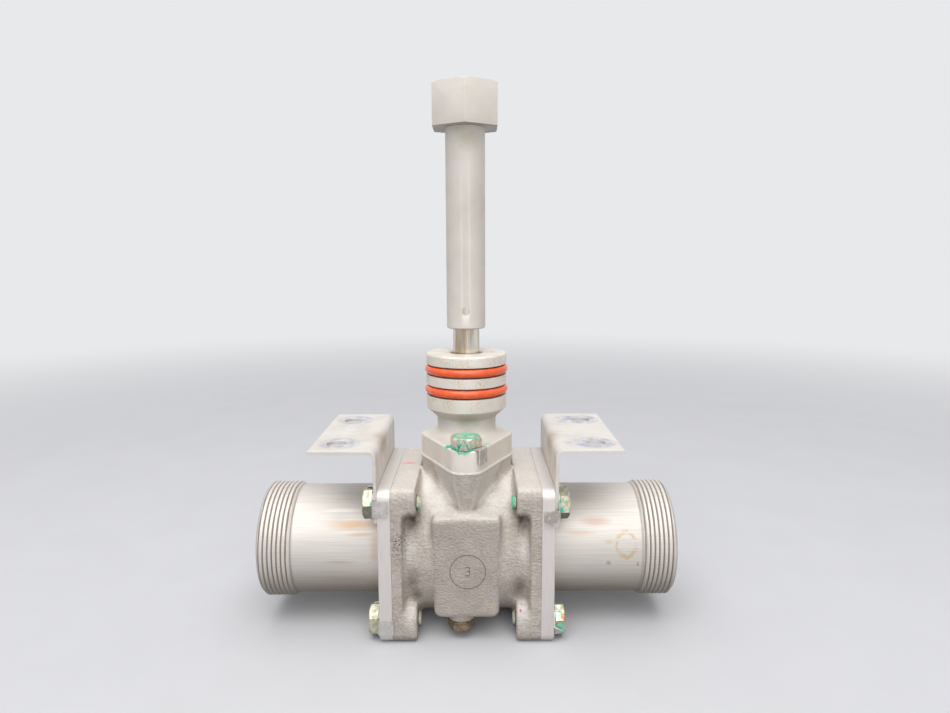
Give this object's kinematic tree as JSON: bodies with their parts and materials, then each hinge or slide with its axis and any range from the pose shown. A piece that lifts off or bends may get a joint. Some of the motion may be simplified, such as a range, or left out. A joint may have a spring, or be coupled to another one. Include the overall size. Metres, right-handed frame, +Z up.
{
  "type": "shut-off valve",
  "caption": "Quarter-turn ball valve with threaded tube ends, square bolted flanges, bent mounting brackets, a sealed spigot and a long stem extension with a hexagon head.",
  "frame": {"origin": "under the stem axis, at the level of the flange bottoms that the valve stands on", "axes": "+X along the pipe towards the right tube, +Z up along the stem"},
  "size_m": [0.1692, 0.0644, 0.2182],
  "materials": {
    "cast_aluminium": "sand cast, rough",
    "machined_aluminium": "machined, satin",
    "tube_aluminium": "turned, brushed along the tube",
    "sheet_aluminium": "sheet, satin",
    "orange_rubber": "smooth",
    "black_rubber": "smooth",
    "polished_steel": "polished",
    "plated_steel": "yellow-green plating",
    "washer_steel": "dull",
    "ball_steel": "polished",
    "seat_plastic": "smooth, white",
    "bearing_bronze": "machined"
  },
  "bodies": {
    "valve": {"valve_body": "cast_aluminium", "bonnet": "machined_aluminium", "lower_port_ring": "orange_rubber", "upper_port_ring": "orange_rubber", "bonnet_ring": "black_rubber", "lower_bushing": "bearing_bronze", "upper_bushing": "bearing_bronze", "thrust_washer": "seat_plastic", "right_seat": "seat_plastic", "right_seat_spring": "washer_steel", "right_face_ring": "black_rubber", "left_seat": "seat_plastic", "left_seat_spring": "washer_steel", "left_face_ring": "black_rubber", "right_adapter": "tube_aluminium", "left_adapter": "tube_aluminium", "right_bracket": "sheet_aluminium", "left_bracket": "sheet_aluminium", "right_flange_bolts": "plated_steel", "right_tab_washers": "washer_steel", "left_flange_bolts": "plated_steel", "left_tab_washers": "washer_steel", "bonnet_bolts": "plated_steel", "bonnet_tab_washers": "washer_steel", "drain_plug": "plated_steel", "drain_plug_washer": "washer_steel"},
    "rotor": {"ball": "ball_steel", "stem": "polished_steel", "stem_rings": "black_rubber", "stem_extension": "machined_aluminium", "extension_pin": "polished_steel"}
  },
  "joints": [
    {"name": "quarter_turn", "type": "hinge", "parent": "valve", "child": "rotor", "pos_m": [0, 0, 0.0315], "axis": [0, 0, -1], "range_deg": [0, 90]}
  ]
}
